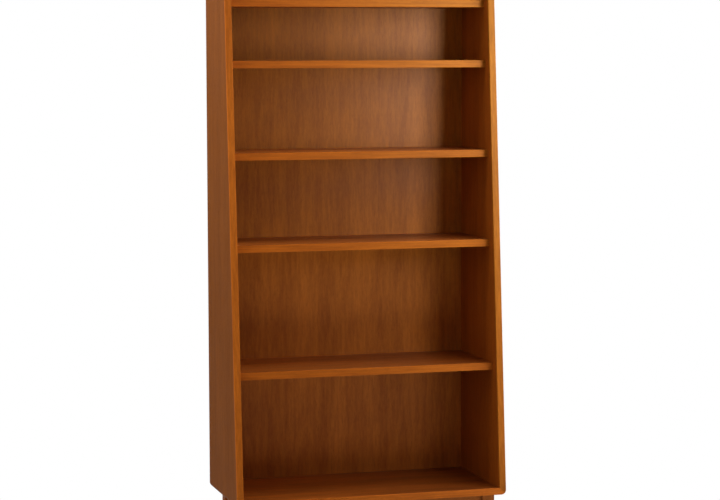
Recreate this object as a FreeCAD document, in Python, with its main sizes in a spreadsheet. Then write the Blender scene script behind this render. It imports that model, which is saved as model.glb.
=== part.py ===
import FreeCAD, Part
import math
import os
import Sketcher

# A tall open bookcase: a mitred case whose front leans back towards the top, five fixed shelves let into
# the sides, a thin back in rebates, and a recessed base of four tapered legs on levelling feet.
# Millimetres, +X to the right, the front faces -Y, +Z up, origin on the floor under the middle of the case.

SIZES = {
    # case
    "case_width": 914,
    "case_depth": 418,
    "top_depth": 270,
    "board_thickness": 22,
    "corner_radius": 16,
    "lipping_depth": 8,
    "eased_edge": 1.5,
    # shelves
    "shelf_thickness": 24,
    "shelf_setback": 42,
    "tall_bay": 386,
    "middle_bay": 273,
    "small_bay": 175,
    "housing_depth": 6,
    "joint_clearance": 0.15,
    # back panel and its staples
    "back_thickness": 6,
    "back_recess": 6,
    "rebate_width": 10,
    "staple_crown": 11,
    "staple_length": 18,
    "staple_wire": 1.4,
    # tongues in the mitres
    "spline_thickness": 4,
    "spline_width": 18,
    "spline_inset": 9,
    "spline_setback": 15,
    # base
    "base_height": 150,
    "leg_width": 42,
    "foot_width": 28,
    "leg_side_inset": 32,
    "leg_front_inset": 28,
    "leg_rear_inset": 50,
    "straight_length": 52,
    "rail_height": 45,
    "rail_thickness": 20,
    "rail_reveal": 10,
    "tenon_thickness": 8,
    "tenon_shoulder": 7.5,
    "tenon_gap": 1.8,
    "bearer_height": 30,
    "stretcher_thickness": 22,
    "stretcher_housing": 5,
    "block_reach": 55,
    "case_screw_length": 42,
    "case_screw_diameter": 4.8,
    "case_screw_head": 9,
    "case_screw_head_height": 3,
    # levelling feet
    "pad_diameter": 24,
    "pad_height": 7,
    "spigot_diameter": 6,
    "spigot_length": 4,
    "hexagon_width": 13,
    "hexagon_height": 4,
    "stem_diameter": 8,
    "stem_length": 25,
    "insert_diameter": 12,
    "insert_length": 16,
    "running_clearance": 0.05,
    "stop_gap": 0.3,
    "bore_relief": 2,
    # how far a cutter reaches past what it cuts
    "overcut": 5,
}

COSINE_45 = 0.5 ** 0.5
TOUCHING = 1e-4
LEAST_CUT = 1e-9

# where the staples stand along a level board or shelf, as shares of its half length
STAPLE_SHARES = (-1 / 2, 1 / 2)

doc = FreeCAD.newDocument("Bookcase")
sheet = doc.addObject("Spreadsheet::Sheet", "Sizes")
for row, (alias, number) in enumerate(SIZES.items(), start=1):
    sheet.set(f"A{row}", alias)
    sheet.set(f"B{row}", str(number))
    sheet.setAlias(f"B{row}", alias)
doc.recompute()


class Size:
    """A length that keeps its value beside the sheet formula that it comes from."""

    def __init__(self, value, formula):
        self.value = value
        self.formula = formula

    def __add__(self, other):
        other = as_size(other)
        return Size(self.value + other.value, f"({self.formula} + {other.formula})")

    def __sub__(self, other):
        other = as_size(other)
        return Size(self.value - other.value, f"({self.formula} - {other.formula})")

    def __mul__(self, other):
        other = as_size(other)
        return Size(self.value * other.value, f"({self.formula} * {other.formula})")

    def __truediv__(self, other):
        other = as_size(other)
        return Size(self.value / other.value, f"({self.formula} / {other.formula})")

    def __neg__(self):
        return Size(-self.value, f"(0 - {self.formula})")


def as_size(thing):
    if isinstance(thing, Size):
        return thing
    return Size(float(thing), f"({float(thing)!r})")


def size(alias):
    return Size(float(sheet.get(alias)), f"Sizes.{alias}")


# Sketches

def plane_sketch(body, role, name, offset=0):
    """A sketch parallel to one of the body's own planes, moved along that plane's normal."""
    sketch = body.newObject("Sketcher::SketchObject", name)
    plane = next(item for item in body.Origin.OriginFeatures if item.Role == role)
    sketch.AttachmentSupport = [(plane, "")]
    sketch.MapMode = "FlatFace"
    sketch.setExpression("AttachmentOffset.Base.z", as_size(offset).formula)
    return sketch


def bind(sketch, kind, references, amount):
    """A dimension of the sketch, tied to the sheet."""
    amount = as_size(amount)
    index = sketch.addConstraint(Sketcher.Constraint(kind, *references, amount.value))
    sketch.setExpression(f"Constraints[{index}]", amount.formula)


def vector(point):
    return FreeCAD.Vector(as_size(point[0]).value, as_size(point[1]).value, 0)


def outline(sketch, corners, arcs=None):
    """A closed anticlockwise loop; arcs gives the centre and radius of the arc that starts at a corner."""
    arcs = arcs or {}
    first = sketch.GeometryCount
    count = len(corners)
    for index, corner in enumerate(corners):
        start = vector(corner)
        end = vector(corners[(index + 1) % count])
        if index in arcs:
            centre, radius = arcs[index]
            circle = Part.Circle(vector(centre), FreeCAD.Vector(0, 0, 1), radius.value)
            sketch.addGeometry(Part.ArcOfCircle(circle, circle.parameter(start), circle.parameter(end)))
        else:
            sketch.addGeometry(Part.LineSegment(start, end))
    for index in range(count):
        following = first + (index + 1) % count
        sketch.addConstraint(Sketcher.Constraint("Coincident", first + index, 2, following, 1))
    for index, corner in enumerate(corners):
        bind(sketch, "DistanceX", (first + index, 1), corner[0])
        bind(sketch, "DistanceY", (first + index, 1), corner[1])
    for index, (centre, radius) in arcs.items():
        bind(sketch, "Radius", (first + index,), radius)


def rectangle(sketch, low, high):
    outline(sketch, [(low[0], low[1]), (high[0], low[1]), (high[0], high[1]), (low[0], high[1])])


def circles(sketch, centres, diameter):
    for centre in centres:
        circle = Part.Circle(vector(centre), FreeCAD.Vector(0, 0, 1), diameter.value / 2)
        index = sketch.addGeometry(circle)
        bind(sketch, "DistanceX", (index, 3), centre[0])
        bind(sketch, "DistanceY", (index, 3), centre[1])
        bind(sketch, "Diameter", (index,), diameter)


# Features

parts = {}


def new_body(label):
    body = doc.addObject("PartDesign::Body", label)
    body.Label = label
    return body


def pad(body, sketch, length):
    feature = body.newObject("PartDesign::Pad", "Pad")
    feature.Profile = sketch
    feature.setExpression("Length", as_size(length).formula)
    doc.recompute()


def cut(body, sketch, length=None, along_normal=False):
    """A pocket of a given depth, or right through both ways, which has to take something away."""
    before = body.Shape.Volume
    feature = body.newObject("PartDesign::Pocket", "Pocket")
    feature.Profile = sketch
    feature.Reversed = along_normal
    if length is None:
        feature.Type = "ThroughAll"
        feature.SideType = "Symmetric"
    else:
        feature.setExpression("Length", as_size(length).formula)
    doc.recompute()
    if body.Shape.Volume > before * (1 - LEAST_CUT):
        raise RuntimeError(f"{body.Label}: {sketch.Label} cuts nothing")


def revolve(body, profile):
    """A turned piece about +Z, from (radius, height) corners."""
    sketch = plane_sketch(body, "XZ_Plane", "Profile")
    outline(sketch, profile)
    feature = body.newObject("PartDesign::Revolution", "Revolution")
    feature.Profile = sketch
    feature.ReferenceAxis = (sketch, ["V_Axis"])
    feature.Angle = 360
    doc.recompute()


def ease(body, kind, chosen):
    """Takes the sharpness off the edges that pass the test, with a Fillet or a Chamfer."""
    names = [f"Edge{number}" for number, edge in enumerate(body.Shape.Edges, start=1) if chosen(edge)]
    base = body.Tip
    feature = body.newObject(f"PartDesign::{kind}", kind)
    feature.Base = (base, names)
    feature.setExpression("Radius" if kind == "Fillet" else "Size", size("eased_edge").formula)
    doc.recompute()


def run_of(edge):
    """How far an edge goes along each axis."""
    return edge.Vertexes[-1].Point - edge.Vertexes[0].Point


def place(thing, across, along, up, rotation=FreeCAD.Rotation()):
    thing.Placement = FreeCAD.Placement(FreeCAD.Vector(), rotation)
    for letter, amount in zip("xyz", (across, along, up)):
        thing.setExpression(f"Placement.Base.{letter}", as_size(amount).formula)


# Lines and levels of the case

half_width = size("case_width") / 2
rear = size("case_depth") / 2
board = size("board_thickness")
shelf = size("shelf_thickness")
lipping = size("lipping_depth")
clearance = size("joint_clearance")
overcut = size("overcut")

bays = [size("tall_bay")] * 2 + [size("middle_bay")] * 2 + [size("small_bay")] * 2
case_low = size("base_height")
bay_floors = [case_low + board]
for bay in bays[:-1]:
    bay_floors.append(bay_floors[-1] + bay + shelf)
case_high = bay_floors[-1] + bays[-1] + board
shelf_tops = bay_floors[1:]

inside = half_width - board
rebate_reach = inside + size("rebate_width")
rebate_low = case_low + board - size("rebate_width")
rebate_high = case_high - board + size("rebate_width")
rebate_depth = size("back_recess") + size("back_thickness")
back_face = rear - rebate_depth


def front_at(height):
    """Where the sloping front of the case stands at a height."""
    lean = (size("case_depth") - size("top_depth")) / (case_high - case_low)
    return (height - case_low) * lean - rear


def shelf_front(top):
    return front_at(top) + size("shelf_setback")


class Corner:
    """A mitred corner of the case: side is -1 left or 1 right, level is -1 low or 1 high."""

    def __init__(self, side, level):
        self.side = side
        self.level = level
        self.radius = size("corner_radius")
        edge = case_high if level > 0 else case_low
        reach = self.radius * COSINE_45
        self.inner = (inside * side, edge - board * level)
        self.centre = ((half_width - self.radius) * side, edge - self.radius * level)
        self.middle = (self.centre[0] + reach * side, self.centre[1] + reach * level)
        self.upright_end = (half_width * side, self.centre[1])
        self.level_end = (self.centre[0], edge)

    def spline_section(self, slack):
        """The tongue's section, square across the mitre, grown all round by a slack."""
        inset = size("spline_inset") * COSINE_45
        half_width_on = (size("spline_width") / 2 + slack) * COSINE_45
        half_thick = (size("spline_thickness") / 2 + slack) * COSINE_45
        corners = []
        for along, across in ((-1, -1), (1, -1), (1, 1), (-1, 1)):
            out = inset + half_width_on * along + half_thick * across
            up = inset - half_width_on * along + half_thick * across
            corners.append((self.inner[0] + out * self.side, self.inner[1] + up * self.level))
        return corners

    def spline_front(self):
        nearest = case_high if self.level > 0 else case_low + board
        return front_at(nearest) + lipping + size("spline_setback")


low_left = Corner(-1, -1)
low_right = Corner(1, -1)
high_left = Corner(-1, 1)
high_right = Corner(1, 1)
spline_rear = back_face - size("spline_setback")


# Staples of the back panel, by the board or shelf that holds them

wire = size("staple_wire")
rebate_middle = size("rebate_width") / 2
bay_middles = [floor + bay / 2 for floor, bay in zip(bay_floors, bays)]
holder_levels = {
    "bottom_board": rebate_low + rebate_middle,
    "top_board": rebate_high - rebate_middle,
}
for number, top in enumerate(shelf_tops, start=1):
    holder_levels[f"shelf_{number}"] = top - shelf / 2
upright_holders = ("left_side", "right_side")
staple_points = {
    "left_side": [(-(inside + rebate_middle), height) for height in bay_middles],
    "right_side": [(inside + rebate_middle, height) for height in bay_middles],
}
for holder, level in holder_levels.items():
    staple_points[holder] = [(inside * share, level) for share in STAPLE_SHARES]


def pierce(body, holder, face, depth):
    """Square holes, forwards from a face, for the legs of the staples that a board or shelf holds."""
    sketch = plane_sketch(body, "XZ_Plane", "StapleHoles", -face)
    reach = (size("staple_crown") - wire) / 2
    half = wire / 2 + clearance
    for across, up in staple_points[holder]:
        for way in (-1, 1):
            step = (0, reach * way) if holder in upright_holders else (reach * way, 0)
            x = across + step[0]
            z = up + step[1]
            rectangle(sketch, (x - half, z - half), (x + half, z + half))
    cut(body, sketch, depth, along_normal=True)


def pierce_holder(body):
    pierce(body, body.Label, back_face, size("staple_length") - size("back_thickness") + clearance)


# Case boards, their lippings and the tongues in the mitres

def mitred_bar(label, start, end, upright):
    """A board from corner to corner, anticlockwise round the case, as deep as the case is at its foot."""
    body = new_body(label)
    sketch = plane_sketch(body, "XZ_Plane", "Profile", -rear)
    outer_start = start.upright_end if upright else start.level_end
    outer_end = end.upright_end if upright else end.level_end
    corners = [start.middle, outer_start, outer_end, end.middle, end.inner, start.inner]
    outline(sketch, corners, {0: (start.centre, start.radius), 2: (end.centre, end.radius)})
    pad(body, sketch, size("case_depth"))
    return body


def trim(body, setback, far_edge):
    """Takes away what lies between the sloping front, moved back by a setback, and a far edge."""
    low = case_low - overcut
    high = case_high + overcut
    sketch = plane_sketch(body, "YZ_Plane", "Slope")
    near_low = front_at(low) + setback
    near_high = front_at(high) + setback
    outline(sketch, [(near_low, low), (near_high, high), (far_edge, high), (far_edge, low)])
    cut(body, sketch)


def spline_groove(body, corner):
    sketch = plane_sketch(body, "XZ_Plane", "SplineGroove", -(spline_rear + clearance))
    outline(sketch, corner.spline_section(clearance))
    cut(body, sketch, spline_rear - corner.spline_front() + clearance * 2, along_normal=True)


def case_board(label, start, end, upright):
    body = mitred_bar(label, start, end, upright)
    trim(body, lipping, -(rear + overcut))
    step = plane_sketch(body, "XZ_Plane", "Rebate", -rear)
    rectangle(step, (-rebate_reach, rebate_low), (rebate_reach, rebate_high))
    cut(body, step, rebate_depth, along_normal=True)
    spline_groove(body, start)
    spline_groove(body, end)
    pierce_holder(body)
    return body


def shelf_housings(body, side):
    """Grooves for the shelf ends, open into the rebate and stopped behind the shelf lippings."""
    sketch = plane_sketch(body, "YZ_Plane", "Housings", inside * side)
    for top in shelf_tops:
        low = (shelf_front(top) + lipping - clearance, top - shelf)
        high = (back_face + rebate_depth / 2, top + clearance)
        rectangle(sketch, low, high)
    cut(body, sketch, size("housing_depth"), along_normal=side > 0)


def case_lipping(label, start, end, upright):
    """The solid strip along a board's front, with its long front edges eased."""
    body = mitred_bar(label, start, end, upright)
    trim(body, as_size(0), -(rear + overcut))
    trim(body, lipping, rear + overcut)

    outer_start = start.upright_end if upright else start.level_end
    for across, up in (outer_start, start.inner):
        line = FreeCAD.Vector(across.value, 0, up.value)

        def long_front_edge(edge):
            tips = [point.Point for point in edge.Vertexes]
            on_front = all(abs(tip.y - front_at(as_size(tip.z)).value) < TOUCHING for tip in tips)
            gaps = [tip - line for tip in tips]
            on_line = all(abs(gap.x if upright else gap.z) < TOUCHING for gap in gaps)
            return on_front and on_line

        ease(body, "Fillet", long_front_edge)
    return body


for name, start, end, upright in (
    ("left_side", high_left, low_left, True),
    ("right_side", low_right, high_right, True),
    ("bottom_board", low_left, low_right, False),
    ("top_board", high_right, high_left, False),
):
    parts[name] = case_board(name, start, end, upright)
    if upright:
        shelf_housings(parts[name], start.side)
    strip_name = name.replace("_board", "") + "_lipping"
    parts[strip_name] = case_lipping(strip_name, start, end, upright)

for name, corner in (
    ("spline_bottom_left", low_left),
    ("spline_bottom_right", low_right),
    ("spline_top_left", high_left),
    ("spline_top_right", high_right),
):
    tongue = new_body(name)
    section = plane_sketch(tongue, "XZ_Plane", "Section", -spline_rear)
    outline(section, corner.spline_section(as_size(0)))
    pad(tongue, section, spline_rear - corner.spline_front())
    parts[name] = tongue


# Shelves and back panel

def slab(label, low, high, bottom, thickness):
    body = new_body(label)
    plan = plane_sketch(body, "XY_Plane", "Plan", bottom)
    rectangle(plan, low, high)
    pad(body, plan, thickness)
    return body


def shelf_lipping(label, top):
    front = shelf_front(top)
    body = slab(label, (-inside, front), (inside, front + lipping), top - shelf, shelf)

    def long_front_edge(edge):
        on_front = all(abs(point.Y - front.value) < TOUCHING for point in edge.Vertexes)
        return on_front and abs(run_of(edge).x) > TOUCHING

    ease(body, "Fillet", long_front_edge)
    return body


shelf_end = inside + size("housing_depth") - clearance
for number, top in enumerate(shelf_tops, start=1):
    name = f"shelf_{number}"
    front = shelf_front(top) + lipping
    parts[name] = slab(name, (-shelf_end, front), (shelf_end, back_face), top - shelf, shelf)
    pierce_holder(parts[name])
    parts[f"{name}_lipping"] = shelf_lipping(f"{name}_lipping", top)

back_seat = rear - size("back_recess")
panel = new_body("back_panel")
panel_face = plane_sketch(panel, "XZ_Plane", "Face", -back_seat)
panel_low = (-(rebate_reach - clearance), rebate_low + clearance)
panel_high = (rebate_reach - clearance, rebate_high - clearance)
rectangle(panel_face, panel_low, panel_high)
pad(panel, panel_face, size("back_thickness"))
for holder in staple_points:
    pierce(panel, holder, back_seat, size("back_thickness"))
parts["back_panel"] = panel


# Copies of one pattern, and the staples

def group_of(label, pattern, places):
    """Copies of a piece, each moved to (across, along, up) and turned."""
    copies = []
    for index, (across, along, up, rotation) in enumerate(places, start=1):
        copy = doc.addObject("App::Link", f"{label}_{index}")
        copy.LinkedObject = pattern
        place(copy, across, along, up, rotation)
        copies.append(copy)
    group = doc.addObject("Part::Compound", label)
    group.Label = label
    group.Links = copies
    doc.recompute()
    return group


def staple():
    """A square-wire staple whose crown seats at the origin, along X, and whose legs stand up along +Z."""
    body = new_body("staple_pattern")
    outer = size("staple_crown") / 2
    inner = outer - wire
    length = size("staple_length")
    bend = plane_sketch(body, "XZ_Plane", "Bend", -wire / 2)
    outline(bend, [
        (-outer, -wire),
        (outer, -wire),
        (outer, length),
        (inner, length),
        (inner, 0),
        (-inner, 0),
        (-inner, length),
        (-outer, length),
    ])
    pad(body, bend, wire)
    return body


point_forward = FreeCAD.Rotation(FreeCAD.Vector(1, 0, 0), 90)
stand_on_end = FreeCAD.Rotation(FreeCAD.Vector(0, 1, 0), 90)
staple_places = []
for holder, points in staple_points.items():
    turn = stand_on_end * point_forward if holder in upright_holders else point_forward
    staple_places += [(across, back_seat, up, turn) for across, up in points]
parts["back_staples"] = group_of("back_staples", staple(), staple_places)


# Lines and levels of the base

leg = size("leg_width")
foot = size("foot_width")
reveal = size("rail_reveal")
rail_thickness = size("rail_thickness")
tenon = size("tenon_thickness")
rail_low = case_low - size("rail_height")
rail_inner = reveal + rail_thickness
tenon_low = rail_low + size("tenon_shoulder")
tenon_high = case_low - size("tenon_shoulder")
tenon_inset = (rail_thickness - tenon) / 2
tenon_start = reveal + tenon_inset
tenon_length = leg - tenon_start - tenon - size("tenon_gap")
bearer_low = case_low - size("bearer_height")

stem_start = size("pad_height") + size("stop_gap")
hexagon_top = stem_start + size("hexagon_height")
stem_top = hexagon_top + size("stem_length")
leg_foot = hexagon_top + size("stop_gap")
taper_top = case_low - size("straight_length")

# each corner of the base: the leg's outer corner, its quarter turn, and the way in under the case
leg_out = half_width - size("leg_side_inset")
leg_front = size("leg_front_inset") - rear
leg_rear = rear - size("leg_rear_inset")
base_corners = {
    "front_left": (-leg_out, leg_front, 0, (1, 1)),
    "front_right": (leg_out, leg_front, 90, (-1, 1)),
    "rear_right": (leg_out, leg_rear, 180, (-1, -1)),
    "rear_left": (-leg_out, leg_rear, 270, (1, -1)),
}

notch = leg + clearance
block_far = rail_inner + size("block_reach")
block_hole = (notch + (rail_inner + block_far) / 2) / 2
stretcher_front = leg_front + rail_inner
stretcher_rear = leg_rear - rail_inner
case_screw_points = [
    (across + block_hole * inward[0], along + block_hole * inward[1])
    for across, along, turn, inward in base_corners.values()
]
case_screw_hole = size("case_screw_diameter") + clearance * 2


# Legs and corner blocks, both drawn from the leg's outer corner with +X and +Y pointing in

def tapered_leg(label):
    """Square down past the rails, then tapered on its two inner faces to the foot."""
    body = new_body(label)
    front_shape = plane_sketch(body, "XZ_Plane", "FrontShape", -leg)
    outline(front_shape, [(0, leg_foot), (foot, leg_foot), (leg, taper_top), (leg, case_low), (0, case_low)])
    pad(body, front_shape, leg)
    side_taper = plane_sketch(body, "YZ_Plane", "SideTaper")
    beyond = leg + overcut
    outline(side_taper, [(foot, leg_foot), (beyond, leg_foot), (beyond, taper_top), (leg, taper_top)])
    cut(body, side_taper)
    ease(body, "Chamfer", lambda edge: abs(run_of(edge).z) > TOUCHING)

    mortise_low = (tenon_start - clearance, tenon_low - clearance)
    mortise_high = (tenon_start + tenon + clearance, tenon_high + clearance)
    mortise = plane_sketch(body, "YZ_Plane", "RailMortise", leg)
    rectangle(mortise, mortise_low, mortise_high)
    cut(body, mortise, tenon_length + clearance)
    mortise = plane_sketch(body, "XZ_Plane", "SideRailMortise", -leg)
    rectangle(mortise, mortise_low, mortise_high)
    cut(body, mortise, tenon_length + clearance, along_normal=True)

    bore = plane_sketch(body, "XY_Plane", "FootBore", leg_foot)
    circles(bore, [(foot / 2, foot / 2)], size("insert_diameter") + size("running_clearance") * 2)
    cut(body, bore, stem_top - leg_foot + size("bore_relief"), along_normal=True)
    return body


def corner_block(label):
    """A block across the corner of two rails, notched round the leg, with a hole for its screw."""
    body = new_body(label)
    plan = plane_sketch(body, "XY_Plane", "Plan", bearer_low)
    outline(plan, [
        (notch, notch),
        (notch, rail_inner),
        (block_far, rail_inner),
        (rail_inner, block_far),
        (rail_inner, notch),
    ])
    pad(body, plan, size("bearer_height"))
    hole = plane_sketch(body, "XY_Plane", "ScrewHole", bearer_low)
    circles(hole, [(block_hole, block_hole)], case_screw_hole)
    cut(body, hole, size("bearer_height"), along_normal=True)
    return body


for name, (across, along, turn, inward) in base_corners.items():
    quarter_turn = FreeCAD.Rotation(FreeCAD.Vector(0, 0, 1), turn)
    parts[f"leg_{name}"] = tapered_leg(f"leg_{name}")
    place(parts[f"leg_{name}"], across, along, 0, quarter_turn)
    parts[f"block_{name}"] = corner_block(f"block_{name}")
    place(parts[f"block_{name}"], across, along, 0, quarter_turn)


# Rails, stretcher and the screws into the case

def tenoned_rail(label, role, start, middle, half_length):
    """A rail that grows from a start along its plane's normal, with a tenon at each end."""
    body = new_body(label)
    face = plane_sketch(body, role, "Face", start)
    rectangle(face, (middle - half_length, rail_low), (middle + half_length, case_low))
    pad(body, face, rail_thickness)
    reach = half_length + tenon_length
    tenons = plane_sketch(body, role, "Tenons", start + tenon_inset)
    rectangle(tenons, (middle - reach, tenon_low), (middle + reach, tenon_high))
    pad(body, tenons, tenon)
    return body


def stretcher_notch(body, face, along_normal):
    """The housing for the stretcher's end in the inner face of a rail."""
    half = size("stretcher_thickness") / 2 + clearance
    sketch = plane_sketch(body, "XZ_Plane", "StretcherHousing", -face)
    rectangle(sketch, (-half, bearer_low), (half, case_low + overcut))
    cut(body, sketch, size("stretcher_housing") + clearance, along_normal)


middle_of_width = as_size(0)
long_half = leg_out - leg
parts["rail_front"] = tenoned_rail("rail_front", "XZ_Plane", -stretcher_front, middle_of_width, long_half)
stretcher_notch(parts["rail_front"], stretcher_front, along_normal=True)
rear_face = leg_rear - reveal
parts["rail_rear"] = tenoned_rail("rail_rear", "XZ_Plane", -rear_face, middle_of_width, long_half)
stretcher_notch(parts["rail_rear"], stretcher_rear, along_normal=False)

middle_of_depth = (leg_front + leg_rear) / 2
short_half = (leg_rear - leg_front) / 2 - leg
left_face = reveal - leg_out
right_face = leg_out - rail_inner
parts["rail_left"] = tenoned_rail("rail_left", "YZ_Plane", left_face, middle_of_depth, short_half)
parts["rail_right"] = tenoned_rail("rail_right", "YZ_Plane", right_face, middle_of_depth, short_half)

stretcher_half = size("stretcher_thickness") / 2
stretcher_low = (-stretcher_half, stretcher_front - size("stretcher_housing"))
stretcher_high = (stretcher_half, stretcher_rear + size("stretcher_housing"))
parts["stretcher"] = slab("stretcher", stretcher_low, stretcher_high, bearer_low, size("bearer_height"))

case_holes = plane_sketch(parts["bottom_board"], "XY_Plane", "CaseScrewHoles", case_low)
circles(case_holes, case_screw_points, case_screw_hole)
case_hole_depth = size("case_screw_length") - size("bearer_height") + clearance
cut(parts["bottom_board"], case_holes, case_hole_depth, along_normal=True)


def case_screw():
    """A flat-headed screw whose shank stands up along +Z from the seat of its head at the origin."""
    body = new_body("case_screw_pattern")
    shank = size("case_screw_diameter") / 2
    head = size("case_screw_head") / 2
    thickness = size("case_screw_head_height")
    length = size("case_screw_length")
    revolve(body, [(0, -thickness), (head, -thickness), (head, 0), (shank, 0), (shank, length), (0, length)])
    return body


upright_turn = FreeCAD.Rotation()
case_screw_places = [(across, along, bearer_low, upright_turn) for across, along in case_screw_points]
parts["case_screws"] = group_of("case_screws", case_screw(), case_screw_places)


# Levelling feet: a sleeve in the leg, a stem that turns in it, and a pad on the floor

stem_radius = size("stem_diameter") / 2
spigot_radius = size("spigot_diameter") / 2
spigot_low = size("pad_height") - size("spigot_length")
fit = size("running_clearance")


def insert_sleeve():
    body = new_body("insert_pattern")
    inner = stem_radius + fit
    outer = size("insert_diameter") / 2
    top = leg_foot + size("insert_length")
    revolve(body, [(inner, leg_foot), (outer, leg_foot), (outer, top), (inner, top)])
    return body


def threaded_stem(label):
    """A plain shank for the thread, a hexagon to turn it by, and a spigot that turns in the pad."""
    body = new_body(label)
    revolve(body, [
        (0, spigot_low),
        (spigot_radius, spigot_low),
        (spigot_radius, stem_start),
        (stem_radius, stem_start),
        (stem_radius, stem_top),
        (0, stem_top),
    ])
    corner_radius = size("hexagon_width") / math.sqrt(3)
    angles = [math.radians(60 * step) for step in range(6)]
    hexagon = plane_sketch(body, "XY_Plane", "Hexagon", stem_start)
    outline(hexagon, [(corner_radius * math.cos(a), corner_radius * math.sin(a)) for a in angles])
    pad(body, hexagon, size("hexagon_height"))
    return body


def floor_pad(label):
    """A round pad with a blind socket for the spigot."""
    body = new_body(label)
    radius = size("pad_diameter") / 2
    top = size("pad_height")
    socket = spigot_radius + fit
    socket_floor = spigot_low - clearance
    revolve(body, [
        (0, 0),
        (radius, 0),
        (radius, top),
        (socket, top),
        (socket, socket_floor),
        (0, socket_floor),
    ])
    return body


insert_places = []
for name, (across, along, turn, inward) in base_corners.items():
    foot_x = across + foot / 2 * inward[0]
    foot_y = along + foot / 2 * inward[1]
    insert_places.append((foot_x, foot_y, 0, upright_turn))
    for kind, make in (("stem", threaded_stem), ("pad", floor_pad)):
        parts[f"{kind}_{name}"] = make(f"{kind}_{name}")
        place(parts[f"{kind}_{name}"], foot_x, foot_y, 0)
parts["inserts"] = group_of("inserts", insert_sleeve(), insert_places)


# Every piece is checked before any file is written

doc.recompute()
for item in doc.Objects:
    if "Invalid" in item.State or "Error" in item.State:
        raise RuntimeError(f"{item.Label} failed: {item.State}")
for name, piece in parts.items():
    if piece.Shape.isNull() or not piece.Shape.isValid() or not piece.Shape.Solids:
        raise RuntimeError(f"{name} has no sound shape")

os.makedirs("parts", exist_ok=True)
for name, piece in parts.items():
    piece.Shape.exportStep(f"parts/{name}.step")
print(f"{len(parts)} pieces written, case {case_high.value:.0f} mm high")
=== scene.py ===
import math

import bmesh
import bpy
from mathutils import Matrix, Vector


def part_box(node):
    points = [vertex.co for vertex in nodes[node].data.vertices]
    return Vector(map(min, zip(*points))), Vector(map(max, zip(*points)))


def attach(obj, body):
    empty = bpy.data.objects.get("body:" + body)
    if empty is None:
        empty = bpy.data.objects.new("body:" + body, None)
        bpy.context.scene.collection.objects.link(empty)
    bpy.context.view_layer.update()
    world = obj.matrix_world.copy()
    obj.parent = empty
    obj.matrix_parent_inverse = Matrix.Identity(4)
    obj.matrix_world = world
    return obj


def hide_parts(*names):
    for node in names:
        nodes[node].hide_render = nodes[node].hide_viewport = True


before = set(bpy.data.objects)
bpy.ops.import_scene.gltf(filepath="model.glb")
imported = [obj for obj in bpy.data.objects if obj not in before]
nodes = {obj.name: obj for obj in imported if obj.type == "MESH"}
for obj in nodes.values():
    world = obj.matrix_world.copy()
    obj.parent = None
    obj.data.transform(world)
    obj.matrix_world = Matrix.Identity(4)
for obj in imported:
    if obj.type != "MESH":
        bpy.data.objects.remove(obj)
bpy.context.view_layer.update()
corners = ["front_left", "front_right", "rear_left", "rear_right"]
print("frame loaded with", len(nodes), "pieces of the bookcase")


class Signal:
    # one output socket: arithmetic on values adds Math nodes, on vectors Vector Math nodes

    def __init__(self, finish, socket):
        self.finish = finish
        self.socket = socket

    def maths(self, operation, *terms):
        many = any(isinstance(term, Signal) and term.socket.type in ("VECTOR", "RGBA") for term in terms)
        kind = "ShaderNodeVectorMath" if many else "ShaderNodeMath"
        return self.finish.add(kind, {"operation": operation}, dict(enumerate(terms)))

    def __add__(self, other):
        return self.maths("ADD", self, other)

    def __radd__(self, other):
        return self.maths("ADD", other, self)

    def __sub__(self, other):
        return self.maths("SUBTRACT", self, other)

    def __rsub__(self, other):
        return self.maths("SUBTRACT", other, self)

    def __mul__(self, other):
        return self.maths("MULTIPLY", self, other)

    def __rmul__(self, other):
        return self.maths("MULTIPLY", other, self)

    def least(self, other):
        return self.maths("MINIMUM", self, other)

    def most(self, other):
        return self.maths("MAXIMUM", self, other)


class Finish:
    # a node tree under construction, for a material or the world

    def __init__(self, owner):
        self.owner = owner
        owner.use_nodes = True
        self.tree = owner.node_tree
        self.tree.nodes.clear()

    def add(self, kind, settings, inputs, output=0):
        node = self.tree.nodes.new(kind)
        for key, value in settings.items():
            setattr(node, key, value)
        for key, value in inputs.items():
            socket = node.inputs[key]
            if isinstance(value, Signal):
                self.tree.links.new(value.socket, socket)
            elif socket.type == "RGBA":
                socket.default_value = (*value, 1)
            elif socket.type == "VECTOR" and isinstance(value, (int, float)):
                socket.default_value = (value, value, value)
            else:
                socket.default_value = value
        return Signal(self, node.outputs[output]) if node.outputs else None

    def place(self):
        # metres in the piece's own frame
        return self.add("ShaderNodeTexCoord", {}, {}, "Object")

    def split(self, vector):
        parts = self.add("ShaderNodeSeparateXYZ", {}, {"Vector": vector}).socket.node
        return {axis: Signal(self, parts.outputs[axis]) for axis in "XYZ"}

    def noise(self, place, rate, detail=2.0, roughness=0.5, output="Fac"):
        # 0 to 1, about 0.5; rate is in waves a metre, one number or one for each axis
        inputs = {"Vector": place * rate, "Scale": 1.0, "Detail": detail, "Roughness": roughness}
        return self.add("ShaderNodeTexNoise", {"noise_dimensions": "3D"}, inputs, output)

    def step(self, value, start, end):
        # 0 before start, 1 after end, smooth between; start may be the larger
        inputs = {"Value": value, "From Min": start, "From Max": end}
        return self.add("ShaderNodeMapRange", {"interpolation_type": "SMOOTHSTEP"}, inputs)

    def mix(self, share, first, second):
        # by number, because the colour sockets of this node share their names with others
        return self.add("ShaderNodeMix", {"data_type": "RGBA"}, {0: share, 6: first, 7: second}, 2)

    def bump(self, height, strength, depth):
        inputs = {"Height": height, "Strength": strength, "Distance": depth}
        return self.add("ShaderNodeBump", {}, inputs)

    def shader(self, inputs):
        surface = self.add("ShaderNodeBsdfPrincipled", {}, inputs)
        self.add("ShaderNodeOutputMaterial", {}, {"Surface": surface})
        return self.owner


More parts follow.
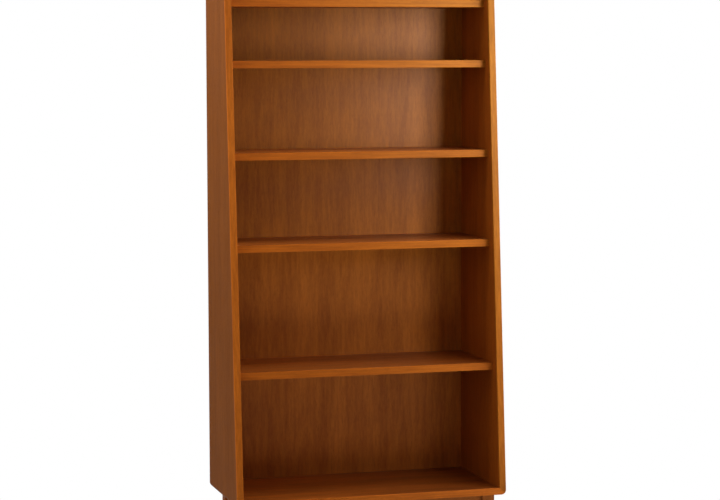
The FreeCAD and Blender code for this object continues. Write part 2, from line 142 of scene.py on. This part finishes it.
# woods: colours are linear, widths in metres across the grain and lengths along it; a wood with tints is
# multiplied by its start tint at the left end or the foot of its board and by its end tint at the other
# end:
# these tints are painted light and shade along the board
caseVeneer = {
    "pale": (0.379, 0.0894, 0.00651), "deep": (0.261, 0.0582, 0.00409), "pore": (0.112, 0.0229, 0.00186),
    "bandWidth": 0.055, "bandLength": 0.9, "wander": 0.008,
    "streakWidth": 0.0095, "streakLength": 0.11, "streakShare": 0.55,
    "fleckWidth": 0.0065, "fleckLength": 0.022, "fleckShare": 0.55,
    "poreWidth": 0.0008, "poreLength": 0.014, "poreShare": 0.50, "poreDepth": 0.0002,
    "roughness": 0.46, "shine": 0.15, "wear": 0.25,
}
backVeneer = caseVeneer | {
    "pale": (0.541, 0.164, 0.0138), "deep": (0.357, 0.101, 0.0082), "pore": (0.151, 0.0370, 0.0029),
    # painted sheen: paler and greyer at the foot and the head of the back, for reflections there
    "startTint": (1.14, 1.11, 1.75), "endTint": (1.06, 1.22, 1.26),   # foot, head
    "streakWidth": 0.0105, "streakLength": 0.090, "streakShare": 0.52, "wander": 0.003,
    "fleckShare": 0.62, "poreShare": 0.40, "roughness": 0.41, "shine": 0.23,
}
shelfVeneer = caseVeneer | {
    "pale": (0.431, 0.106, 0.0098), "deep": (0.221, 0.051, 0.0047), "pore": (0.112, 0.0235, 0.0024),
    # painted light and shade: lighter at the left end, darker at the right end in the right side's shadow
    "startTint": (1.30, 1.36, 1.40), "endTint": (0.76, 0.72, 0.67),   # left, right
    "bandWidth": 0.085, "streakWidth": 0.022, "streakLength": 0.22, "roughness": 0.40, "shine": 0.45,
}
floorVeneer = shelfVeneer | {
    "pale": (0.416, 0.100, 0.0089), "deep": (0.214, 0.048, 0.0043), "pore": (0.109, 0.0227, 0.0023),
    # painted light and shade: lighter at the left end, darker at the right end in the right side's shadow
    "startTint": (1.40, 1.40, 1.45), "endTint": (0.66, 0.62, 0.60),   # left, right
    "shine": 0.35,
}
# painted sheen: the same veneer as the right side, made greyer and yellower on the left face for its sheen
leftVeneerPaintedSheen = caseVeneer | {
    "pale": (0.339, 0.0975, 0.0119), "deep": (0.228, 0.0615, 0.00713), "pore": (0.101, 0.0249, 0.00325),
}
lippingWood = caseVeneer | {
    "pale": (0.545, 0.152, 0.0091), "deep": (0.350, 0.090, 0.0055), "pore": (0.195, 0.045, 0.0030),
    "bandWidth": 0.030, "bandLength": 0.30, "streakWidth": 0.0060, "streakLength": 0.16,
    "streakShare": 0.60, "poreShare": 0.30, "roughness": 0.52, "shine": 0.14, "wear": 0.35,
}
shelfLipping = lippingWood | {
    # painted light and sheen: redder and brighter at the left end, more golden and greyer at the right end
    "startTint": (1.13, 0.97, 1.05), "endTint": (0.91, 1.08, 1.28),   # left, right
}
# painted sheen: each shelf lipping's right end more golden than the one below, for the lamps' highlight
paintedGoldRise = 0.055     # how much more golden the right end of each shelf is than that of the one below
footLipping = lippingWood | {
    # painted light: the bottom lipping paler and greyer, most at its right end, for light bounced from the
    # floor
    "startTint": (1.24, 1.07, 1.30), "endTint": (1.32, 1.20, 1.95),   # left, right
}
# painted light: the left side's lipping is much paler than the others, for the key light it lacks
leftLippingPaintedLight = lippingWood | {
    "pale": (0.712, 0.184, 0.0140), "deep": (0.485, 0.116, 0.0092), "pore": (0.270, 0.056, 0.0047),
}
# painted shade and light: darker than the other lippings against the near key lamp, paler and greyer at its
# foot
rightLippingPaintedShade = lippingWood | {
    "pale": (0.413, 0.137, 0.00798), "deep": (0.269, 0.0834, 0.00494), "pore": (0.149, 0.0420, 0.00273),
    "startTint": (1.24, 1.10, 1.70), "endTint": (1.02, 1.08, 1.10),   # foot, head
}
# partly painted light: legs and rails paler than the case, for light bounced up from the floor
baseWood = caseVeneer | {
    "pale": (0.490, 0.145, 0.0245), "deep": (0.320, 0.089, 0.0140),
    "bandWidth": 0.022, "streakWidth": 0.0035, "wear": 0.35,
}
plainWood = caseVeneer | {
    "pale": (0.560, 0.370, 0.190), "deep": (0.410, 0.245, 0.110), "pore": (0.250, 0.140, 0.060),
    "bandWidth": 0.018, "streakWidth": 0.0030, "roughness": 0.62, "shine": 0.12, "wear": 0.10,
}

# what all the woods share: limits between two tones of a noise, rates in waves a metre, added roughness
anyWood = {
    "wanderRate": (1.6, 1.6, 0.9), "toneLimits": (0.30, 0.70), "poreLimits": (0.57, 0.70),
    "poresInPale": 0.45, "poreRoughness": 0.14, "poreRelief": 0.8, "reliefStrength": 0.35,
    "handRate": 5.0, "handRoughness": 0.10,
    "wearWidth": 0.0035, "wearTint": 1.28, "wearRate": 22.0, "wearRoughness": 0.15,
    "logSpacing": Vector((1.37, 2.11, 3.53)),   # metres between the boards' places in the log
}


def edgeGap(at, node, free, slope):
    # distance to the nearest edge where two free faces of a board meet, if any do: free names its open
    # sides, small letters for the low ones, and slope is how far its front leans back for each metre up
    low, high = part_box(node)
    gaps = []
    for axis in "xyz":
        place = at[axis.upper()]
        start = getattr(low, axis)
        if axis == "y" and slope:
            start = start + (at["Z"] - low.z) * slope
        ends = [place - start] if axis in free else []
        if axis.upper() in free:
            ends.append(getattr(high, axis) - place)
        if ends:
            gaps.append(ends[0].least(ends[-1]))
    if len(gaps) < 3:
        return gaps[0].most(gaps[1]) if len(gaps) == 2 else None
    x, y, z = gaps
    return x.least(y).most(x.most(y).least(z))


def woodFinish(node, wood, grain, free, number, slope):
    finish = Finish(bpy.data.materials.new(node + "_wood"))
    place = finish.place()
    at = finish.split(place)
    crossing = [axis for axis in "XYZ" if axis != grain]
    turned = {"X": at[crossing[0]], "Y": at[crossing[1]], "Z": at[grain]}
    log = finish.add("ShaderNodeCombineXYZ", {}, turned) + tuple(anyWood["logSpacing"] * number)

    # the grain wanders a little, so that no streak is a ruled line
    drift = finish.noise(log, anyWood["wanderRate"], detail=1.0, output="Color") - 0.5
    log = log + drift * (wood["wander"], wood["wander"], 0.0)

    def figure(kind, detail, roughness=0.5):
        # noise drawn out along the grain, as wide and long as this kind of figure
        across = 1 / wood[kind + "Width"]
        return finish.noise(log, (across, across, 1 / wood[kind + "Length"]), detail, roughness)

    bands = finish.step(figure("band", detail=2.0), *anyWood["toneLimits"])
    streaks = finish.step(figure("streak", detail=3.0, roughness=0.6), *anyWood["toneLimits"])
    pores = finish.step(figure("pore", detail=1.0), *anyWood["poreLimits"])
    flecks = figure("fleck", detail=2.0) - 0.5
    share = wood["streakShare"]
    tone = bands * (1 - share) + streaks * share + flecks * wood["fleckShare"]
    pores = pores * (anyWood["poresInPale"] + (1 - anyWood["poresInPale"]) * tone)
    colour = finish.mix(tone, wood["pale"], wood["deep"])
    colour = finish.mix(pores * wood["poreShare"], colour, wood["pore"])
    # painted light and shade along the board: from the start tint at one end to the end tint at the other
    if "startTint" in wood:
        low, high = [getattr(end, grain.lower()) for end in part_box(node)]
        along = finish.step(at[grain], low, high)
        colour = colour * finish.mix(along, wood["startTint"], wood["endTint"])

    # free edges are rubbed a little paler and duller, unevenly
    gap = edgeGap(at, node, free, slope)
    wear = 0.0
    if gap:
        patches = finish.noise(place, anyWood["wearRate"])
        wear = finish.step(gap, anyWood["wearWidth"], 0.0) * patches * wood["wear"]
        colour = finish.mix(wear, colour, [channel * anyWood["wearTint"] for channel in wood["pale"]])

    # handling leaves the gloss uneven, and the pores are duller than the wood between them
    uneven = anyWood["handRoughness"]
    handled = finish.noise(place, anyWood["handRate"]) * uneven - uneven / 2
    dulled = handled + wood["roughness"] + pores * anyWood["poreRoughness"]
    roughness = dulled + wear * anyWood["wearRoughness"]
    relief = anyWood["poreRelief"]
    height = (1 - pores) * relief + streaks * (1 - relief)
    return finish.shader({
        "Base Color": colour, "Roughness": roughness, "Specular IOR Level": wood["shine"],
        "Normal": finish.bump(height, anyWood["reliefStrength"], wood["poreDepth"]),
    })


# each board: its wood, the way its grain runs and its free sides
boards = {
    "left_side": (leftVeneerPaintedSheen, "Z", "xXYzZ"),
    "right_side": (caseVeneer, "Z", "xXYzZ"),
    "bottom_board": (floorVeneer, "X", "YzZ"),
    "top_board": (caseVeneer, "X", "YzZ"),
    "back_panel": (backVeneer, "Z", ""),
    "left_side_lipping": (leftLippingPaintedLight, "Z", "xXyzZ"),
    "right_side_lipping": (rightLippingPaintedShade, "Z", "xXyzZ"),
    "bottom_lipping": (footLipping, "X", "yzZ"),
    "top_lipping": (shelfLipping, "X", "yzZ"),
}
shelves = 5
for shelf in range(1, shelves + 1):
    boards[f"shelf_{shelf}"] = (shelfVeneer, "X", "zZ")
    # painted sheen: each lower shelf's lipping is less golden at its right end
    red, green, blue = shelfLipping["endTint"]
    fade = 1 - paintedGoldRise * (shelves - shelf)
    lipping = shelfLipping | {"endTint": (red, green * fade, blue * fade)}
    boards[f"shelf_{shelf}_lipping"] = (lipping, "X", "yzZ")
for corner in corners:
    boards["leg_" + corner] = (baseWood, "Z", "xXyYz")
    boards["block_" + corner] = (plainWood, "X", "xXyYz")
for side in ("front", "rear"):
    boards["rail_" + side] = (baseWood, "X", "yYz")
for side in ("left", "right"):
    boards["rail_" + side] = (baseWood, "Y", "xXz")
for end in ("bottom_left", "bottom_right", "top_left", "top_right"):
    boards["spline_" + end] = (plainWood, "Y", "")
boards["stretcher"] = (plainWood, "Y", "xXz")


def dress(node, material):
    slots = nodes[node].data.materials
    slots.clear()
    slots.append(material)


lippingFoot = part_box("bottom_lipping")[0]
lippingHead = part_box("top_lipping")[0]
frontLean = (lippingHead.y - lippingFoot.y) / (lippingHead.z - lippingFoot.z)   # metres back per metre up
for number, (node, (wood, grain, free)) in enumerate(boards.items()):
    slope = frontLean if "side" in node else 0.0
    dress(node, woodFinish(node, wood, grain, free, number, slope))
print("wood finished on", len(boards), "boards")

# metals and plastic: colours are linear, rates in waves a metre, depths in metres
zinc = {
    "bright": (0.66, 0.67, 0.68), "dull": (0.46, 0.47, 0.49), "roughness": 0.24,
    "bloomRate": 420.0, "bloomLimits": (0.35, 0.70), "bloomRoughness": 0.18,
    "scuffRate": (1600.0, 1600.0, 260.0), "scuffStrength": 0.15, "scuffDepth": 0.00008,
}
turnedSteel = zinc | {"bright": (0.60, 0.60, 0.60), "dull": (0.40, 0.40, 0.41), "roughness": 0.22}
brass = zinc | {"bright": (0.78, 0.56, 0.24), "dull": (0.56, 0.38, 0.15), "roughness": 0.26}
blackPlastic = {
    "colour": (0.020, 0.019, 0.018), "scuffed": (0.050, 0.048, 0.046), "roughness": 0.46,
    "scuffRate": 240.0, "scuffLimits": (0.52, 0.72), "scuffRoughness": 0.15,
    "grainRate": 2600.0, "grainStrength": 0.20, "grainDepth": 0.00006,
}


def metalFinish(name, metal):
    finish = Finish(bpy.data.materials.new(name))
    place = finish.place()
    bloom = finish.noise(place, metal["bloomRate"], detail=3.0, roughness=0.6)
    scuff = finish.noise(place, metal["scuffRate"])
    colour = finish.mix(finish.step(bloom, *metal["bloomLimits"]), metal["bright"], metal["dull"])
    return finish.shader({
        "Base Color": colour, "Metallic": 1.0,
        "Roughness": metal["roughness"] + bloom * metal["bloomRoughness"],
        "Normal": finish.bump(scuff, metal["scuffStrength"], metal["scuffDepth"]),
    })


def plasticFinish(name, plastic):
    finish = Finish(bpy.data.materials.new(name))
    place = finish.place()
    grain = finish.noise(place, plastic["grainRate"], roughness=0.6)
    scuff = finish.step(finish.noise(place, plastic["scuffRate"], detail=3.0), *plastic["scuffLimits"])
    return finish.shader({
        "Base Color": finish.mix(scuff, plastic["colour"], plastic["scuffed"]),
        "Roughness": plastic["roughness"] + scuff * plastic["scuffRoughness"],
        "Normal": finish.bump(grain, plastic["grainStrength"], plastic["grainDepth"]),
    })


zincSteel = metalFinish("zinc_steel", zinc)
stemSteel = metalFinish("stem_steel", turnedSteel)
padPlastic = plasticFinish("pad_plastic", blackPlastic)
dress("back_staples", zincSteel)
dress("inserts", metalFinish("sleeve_brass", brass))
print("metal finished on the staples and sleeves")

sharpAngle = 32     # degrees between two faces, from which their edge is crisp
thread = {"ringsPerTurn": 8, "flank": 2.4}     # flank: how steeply a ridge rises


def newObject(name, data):
    obj = bpy.data.objects.new(name, data)
    bpy.context.scene.collection.objects.link(obj)
    return obj


def piece(name, mesh, material, body, replaced):
    obj = newObject(name, mesh)
    mesh.materials.append(material)
    mesh.set_sharp_from_angle(angle=math.radians(sharpAngle))
    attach(obj, body)
    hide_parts(replaced)


def uprightAxis(low, high):
    return Vector(((low.x + high.x) / 2, (low.y + high.y) / 2, 0.0))


def turnedMesh(name, outline, sides, axis):
    # a turned piece, closed at both ends: each step of its outline, from the bottom up, is a radius and a
    # height, and either may be a function of the angle
    shape = bmesh.new()
    loops = []
    for radius, height in outline:
        loop = []
        for i in range(sides):
            angle = 2 * math.pi * i / sides
            r = radius(angle) if callable(radius) else radius
            z = height(angle) if callable(height) else height
            loop.append(shape.verts.new(Vector((r * math.cos(angle), r * math.sin(angle), z)) + axis))
        loops.append(loop)
    for lower, upper in zip(loops, loops[1:]):
        for i in range(sides):
            j = (i + 1) % sides
            shape.faces.new((lower[i], lower[j], upper[j], upper[i]))
    shape.faces.new(reversed(loops[0]))
    shape.faces.new(loops[-1])
    bmesh.ops.recalc_face_normals(shape, faces=shape.faces)
    for face in shape.faces:
        face.smooth = True
    mesh = bpy.data.meshes.new(name)
    shape.to_mesh(mesh)
    shape.free()
    return mesh


def threadOutline(radius, depth, pitch, bottom, top):
    # a rolled thread: the ridge climbs one pitch a turn and runs out at both ends
    outline = []
    count = round((top - bottom) / pitch * thread["ringsPerTurn"])
    for k in range(count + 1):
        z = bottom + (top - bottom) * k / count
        runOut = min(1.0, (z - bottom) / pitch, (top - z) / pitch)

        def ridge(angle, z=z, runOut=runOut):
            phase = ((z - bottom) / pitch - angle / (2 * math.pi)) % 1.0
            return radius - depth + depth * runOut * min(1.0, thread["flank"] * min(phase, 1 - phase))

        outline.append((ridge, z))
    return outline


# a leveller's stem, in metres: the spigot in the pad, the hexagon for the spanner and the threaded shank
stem = {
    "spigotRadius": 0.0030, "hexagonLow": 0.0073, "hexagonHigh": 0.0113,   # heights above the floor
    "cornerReach": 1.02, "cornerSlope": 30,   # half widths at which the corners are turned off, and degrees
    "shankRadius": 0.0040, "threadDepth": 0.00062, "pitch": 0.00125,
    "chamfer": 0.0005, "tipLength": 0.0006, "sides": 48,
}


def stemMesh(node):
    low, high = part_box(node)
    half = (high.y - low.y) / 2          # the flats face front and rear
    sixth = math.radians(60)             # from corner to corner

    def hexagon(angle):
        turn = (angle + sixth / 2) % sixth - sixth / 2
        return half / math.cos(turn + sixth / 2 if turn < 0 else turn - sixth / 2)

    def turnedOff(angle):
        return min(hexagon(angle), half * stem["cornerReach"])

    def drop(angle):
        return (hexagon(angle) - turnedOff(angle)) * math.tan(math.radians(stem["cornerSlope"]))

    spigot, shank = stem["spigotRadius"], stem["shankRadius"]
    depth, chamfer = stem["threadDepth"], stem["chamfer"]
    bottom, top = stem["hexagonLow"], stem["hexagonHigh"]
    outline = [(spigot - chamfer, low.z), (spigot, low.z + chamfer), (spigot, bottom)]
    outline += [(turnedOff, bottom), (hexagon, lambda angle: bottom + drop(angle))]
    outline += [(hexagon, lambda angle: top - drop(angle)), (turnedOff, top)]
    outline += threadOutline(shank, depth, stem["pitch"], top, high.z - stem["tipLength"])
    outline += [(shank - depth - chamfer, high.z)]
    return turnedMesh(node + "_threaded", outline, stem["sides"], uprightAxis(low, high))


# a leveller's pad, in metres: hollow below, grooved round its waist, with a socket for the stem above
pad = {
    "footRound": 0.0007, "rimRound": 0.0018, "roundSteps": 5, "grooveDepth": 0.0003, "grooveWidth": 0.0010,
    "hollowDepth": 0.0006, "hollowShare": 0.55, "treadShare": 0.62,   # shares of the pad's radius
    "recessTop": 0.0052, "recessFoot": 0.0046, "recessDepth": 0.0004,
    "socketRadius": 0.00305, "socketFloor": 0.00285, "sides": 56,
}


def quarterRound(radius, middle, start):
    # steps of a quarter circle about a radius and a height, from a start angle in degrees
    turns = [math.radians(start + 90 * k / pad["roundSteps"]) for k in range(pad["roundSteps"] + 1)]
    return [(middle[0] + radius * math.cos(turn), middle[1] + radius * math.sin(turn)) for turn in turns]


def padMesh(node):
    low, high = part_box(node)
    radius = (high.x - low.x) / 2
    waist = (low.z + high.z) / 2
    recess = high.z - pad["recessDepth"]
    foot, rim, lip = pad["footRound"], pad["rimRound"], pad["grooveWidth"] / 2
    outline = [(radius * pad["hollowShare"], low.z + pad["hollowDepth"])]
    outline += [(radius * pad["treadShare"], low.z)]
    outline += quarterRound(foot, (radius - foot, low.z + foot), -90)
    outline += [(radius, waist - lip), (radius - pad["grooveDepth"], waist), (radius, waist + lip)]
    outline += quarterRound(rim, (radius - rim, high.z - rim), 0)
    outline += [(pad["recessTop"], high.z), (pad["recessFoot"], recess)]
    outline += [(pad["socketRadius"], recess), (pad["socketRadius"], low.z + pad["socketFloor"])]
    return turnedMesh(node + "_moulded", outline, pad["sides"], uprightAxis(low, high))


for corner in corners:
    stemNode = "stem_" + corner
    padNode = "pad_" + corner
    piece(stemNode + "_threaded", stemMesh(stemNode), stemSteel, "screw_" + corner, stemNode)
    piece(padNode + "_moulded", padMesh(padNode), padPlastic, "foot_" + corner, padNode)
print("levellers made:", len(corners))

# a case screw, in metres and degrees: pan head with a cross slot, plain neck, thread and point
screw = {
    "headRadius": 0.0045, "headHeight": 0.0030, "crownRadius": 0.0006,
    "domeShare": 0.8, "domePower": 0.55, "domeSteps": 7,   # share of the head's height, fullness
    "shankRadius": 0.0024, "threadDepth": 0.0007, "pitch": 0.0020,
    "neckLength": 0.012, "pointLength": 0.003, "pointRadius": 0.0003, "sides": 40,
    "slotWidth": 0.0011, "slotLength": 0.0052, "slotDepth": 0.0017, "slotTaper": 0.6, "slotTurn": 20,
}


def screwOutline(low, high):
    # from the crown of the head up to the point, which stands in the bottom board
    head, height = screw["headRadius"], screw["headHeight"]
    shank, depth = screw["shankRadius"], screw["threadDepth"]
    seat = low.z + height
    outline = [(screw["crownRadius"], low.z)]
    for k in range(1, screw["domeSteps"] + 1):
        swing = math.radians(90 * k / screw["domeSteps"])
        rise = height * screw["domeShare"] * (1 - math.cos(swing))
        outline.append((head * math.sin(swing) ** screw["domePower"], low.z + rise))
    outline += [(head, seat), (shank - depth, seat)]
    threadLow = seat + screw["neckLength"]
    outline += threadOutline(shank, depth, screw["pitch"], threadLow, high.z - screw["pointLength"])
    outline += [(screw["pointRadius"], high.z)]
    return outline


def slotted(mesh, crown, turn):
    # cuts one bar of the cross, shorter at its foot, out of a screw head
    bar = bmesh.new()
    bmesh.ops.create_cube(bar, size=1.0)
    for vert in bar.verts:
        taper = screw["slotTaper"] if vert.co.z > 0 else 1.0
        vert.co.x *= screw["slotLength"] * taper
        vert.co.y *= screw["slotWidth"]
        vert.co.z *= 2 * screw["slotDepth"]
    spin = Matrix.Rotation(math.radians(turn + screw["slotTurn"]), 3, "Z")
    bmesh.ops.rotate(bar, cent=(0, 0, 0), matrix=spin, verts=bar.verts)
    bmesh.ops.translate(bar, vec=crown, verts=bar.verts)
    barMesh = bpy.data.meshes.new("slot_bar")
    bar.to_mesh(barMesh)
    bar.free()
    head = newObject("screw_head", mesh)
    cutter = newObject("slot_bar", barMesh)
    cut = head.modifiers.new("slot", "BOOLEAN")
    cut.operation = "DIFFERENCE"
    cut.solver = "EXACT"
    cut.object = cutter
    graph = bpy.context.evaluated_depsgraph_get()
    result = bpy.data.meshes.new_from_object(head.evaluated_get(graph))
    for obj, data in ((head, mesh), (cutter, barMesh)):
        bpy.data.objects.remove(obj)
        bpy.data.meshes.remove(data)
    return result


def screwMesh(node):
    low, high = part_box(node)
    head = screw["headRadius"]
    whole = bmesh.new()
    for x in (low.x + head, high.x - head):
        for y in (low.y + head, high.y - head):
            body = turnedMesh("screw_body", screwOutline(low, high), screw["sides"], Vector((x, y, 0.0)))
            for turn in (0, 90):
                body = slotted(body, Vector((x, y, low.z)), turn)
            whole.from_mesh(body)
            bpy.data.meshes.remove(body)
    mesh = bpy.data.meshes.new(node + "_slotted")
    whole.to_mesh(mesh)
    whole.free()
    return mesh


piece("case_screws_slotted", screwMesh("case_screws"), zincSteel, "bookcase", "case_screws")
print("case screws made")

# the stage: a pale floor that fades into white surroundings, between two distances from the middle
stage = {
    "floorSize": 16.0, "fadeStart": 0.42, "fadeEnd": 0.76, "shadowShown": 0.75, "white": (1, 1, 1),
    "paint": (0.80, 0.79, 0.77), "mottle": (0.70, 0.69, 0.67), "mottleRate": 3.0, "mottleShare": 0.06,
    "worldColour": (1.0, 0.985, 0.965), "worldStrength": 0.01,
}


def seenDirectly(finish):
    # 1 for camera, mirror and see-through rays, which are shown plain white
    path = finish.add("ShaderNodeLightPath", {}, {}).socket.node
    kinds = ("Is Camera Ray", "Is Glossy Ray", "Is Transmission Ray")
    straight, mirrored, through = [Signal(finish, path.outputs[kind]) for kind in kinds]
    return (straight + mirrored + through).least(1.0)


def stageSheet(name, low, high):
    # one flat face between two opposite corners, lying or standing
    mesh = bpy.data.meshes.new(name)
    outline = [low, (high[0], low[1], low[2]), high, (low[0], high[1], high[2])]
    mesh.from_pydata(outline, [], [(0, 1, 2, 3)])
    sheet = newObject(name, mesh)
    return sheet


def makeFloor():
    half = stage["floorSize"] / 2
    floor = stageSheet("floor", (-half, -half, 0), (half, half, 0))
    finish = Finish(bpy.data.materials.new("floor_paint"))
    place = finish.place()
    reach = finish.add("ShaderNodeVectorMath", {"operation": "LENGTH"}, {0: place}, "Value")
    mottle = finish.noise(place, stage["mottleRate"], detail=3.0) * stage["mottleShare"]
    paint = finish.mix(mottle, stage["paint"], stage["mottle"])
    lit = finish.add("ShaderNodeBsdfDiffuse", {}, {"Color": paint})
    white = finish.add("ShaderNodeEmission", {}, {"Color": stage["white"], "Strength": 1.0})
    shadow = (1 - finish.step(reach, stage["fadeStart"], stage["fadeEnd"])) * stage["shadowShown"]
    share = seenDirectly(finish) * (1 - shadow)
    surface = finish.add("ShaderNodeMixShader", {}, {0: share, 1: lit, 2: white})
    finish.add("ShaderNodeOutputMaterial", {}, {"Surface": surface})
    floor.data.materials.append(finish.owner)


def makeWorld():
    world = bpy.data.worlds.new("white_studio")
    bpy.context.scene.world = world
    finish = Finish(world)
    light = {"Color": stage["worldColour"], "Strength": stage["worldStrength"]}
    around = finish.add("ShaderNodeBackground", {}, light)
    white = finish.add("ShaderNodeBackground", {}, {"Color": stage["white"], "Strength": 1.0})
    surface = finish.add("ShaderNodeMixShader", {}, {0: seenDirectly(finish), 1: around, 2: white})
    finish.add("ShaderNodeOutputWorld", {}, {"Surface": surface})


# grey cards that only the gloss sees, as a photographer's flags: upright at the left behind the case and in
# front of it, and lying on the floor in front and at both sides
flags = {
    "leftFlag": {"low": (-3.20, 0.62, 0.0), "high": (-0.47, 0.62, 3.2), "colour": (0.35, 0.35, 0.35)},
    "frontFlag": {"low": (-2.50, -3.60, 0.0), "high": (4.50, -3.60, 3.6), "colour": (0.12, 0.12, 0.12)},
    "floorFlag": {"low": (-2.50, -3.60, 0.004), "high": (4.50, -0.30, 0.004), "colour": (0.12, 0.12, 0.12)},
    "leftFloorFlag": {
        "low": (-3.20, -0.30, 0.004), "high": (-0.47, 0.62, 0.004), "colour": (0.30, 0.30, 0.30),
    },
    "rightFloorFlag": {
        "low": (0.47, -0.30, 0.004), "high": (3.20, 0.62, 0.004), "colour": (0.30, 0.30, 0.30),
    },
}
flagCloth = {"weaveRate": 300.0, "weaveShade": 0.7, "roughness": 0.9}


def makeFlag(name, flag):
    card = stageSheet(name, flag["low"], flag["high"])
    card.visible_camera = False
    card.visible_diffuse = False
    card.visible_shadow = False
    finish = Finish(bpy.data.materials.new(name + "_cloth"))
    weave = finish.noise(finish.place(), flagCloth["weaveRate"])
    shaded = [channel * flagCloth["weaveShade"] for channel in flag["colour"]]
    colour = finish.mix(weave, flag["colour"], shaded)
    card.data.materials.append(finish.shader({"Base Color": colour, "Roughness": flagCloth["roughness"]}))


# soft boxes: where they stand, what they face, width and height, power, and for some a narrower spread in
# degrees or no shine on the wood
softBoxes = {
    "keyStrip": {
        "place": (0.81, -1.12, 1.70), "aim": (0.73, 0.20, 1.70), "size": (0.34, 1.10), "watts": 8.6,
        "spread": 135,
    },
    "highBox": {
        "place": (1.15, -0.65, 2.80), "aim": (0.20, 0.00, 1.60), "size": (0.60, 0.60), "watts": 21.5,
    },
    "floorGlow": {
        "place": (1.16, -1.22, 0.02), "aim": (1.16, -1.22, 1.00), "size": (1.50, 1.20), "watts": 27.0,
        "shiny": False,
    },
    "leftFill": {
        "place": (-2.60, 0.00, 3.00), "aim": (-0.45, 0.00, 1.50), "size": (1.00, 1.00), "watts": 49.0,
    },
    "leftFront": {
        "place": (-2.65, -1.06, 2.00), "aim": (-0.45, 0.00, 1.00), "size": (1.00, 1.00), "watts": 8.6,
    },
    "rearBox": {
        "place": (0.00, 2.60, 2.20), "aim": (0.00, 0.20, 1.00), "size": (0.80, 1.40), "watts": 20.0,
    },
    "rightFill": {
        "place": (2.60, 0.60, 2.60), "aim": (0.45, 0.10, 1.10), "size": (1.00, 1.00), "watts": 25.0,
    },
    "frontFill": {
        "place": (-1.95, -2.45, 1.40), "aim": (0.00, 0.00, 1.00), "size": (1.00, 1.00), "watts": 4.4,
    },
}


def makeSoftBox(name, box):
    lamp = bpy.data.lights.new(name, "AREA")
    lamp.shape = "RECTANGLE"
    lamp.size, lamp.size_y = box["size"]
    lamp.energy = box["watts"]
    lamp.spread = math.radians(box.get("spread", 180))
    obj = newObject(name, lamp)
    obj.location = box["place"]
    toward = Vector(box["aim"]) - Vector(box["place"])
    obj.rotation_euler = toward.to_track_quat("-Z", "Y").to_euler()
    obj.visible_camera = False
    obj.visible_glossy = box.get("shiny", True)


# the photograph's camera: where it stands, how far it turns right, tips down and rolls, in degrees, and its
# lens and sensor width in millimetres
camera = {
    "place": (-2.0158, -7.0850, 1.6104), "turn": 15.986, "tip": 5.055, "roll": 0.136,
    "lens": 111.36, "sensor": 36.0,
}


def makeCamera():
    lens = bpy.data.cameras.new("camera")
    lens.sensor_width = camera["sensor"]
    lens.lens = camera["lens"]
    obj = newObject("camera", lens)
    turn = Matrix.Rotation(math.radians(-camera["turn"]), 4, "Z")
    tip = Matrix.Rotation(math.radians(90 - camera["tip"]), 4, "X")
    roll = Matrix.Rotation(math.radians(-camera["roll"]), 4, "Z")
    obj.matrix_world = Matrix.Translation(camera["place"]) @ turn @ tip @ roll
    bpy.context.scene.camera = obj


makeFloor()
for name, flag in flags.items():
    makeFlag(name, flag)
makeWorld()
for name, box in softBoxes.items():
    makeSoftBox(name, box)
makeCamera()
bpy.context.scene.view_settings.view_transform = "Standard"
print("stage set with", len(softBoxes), "soft boxes")
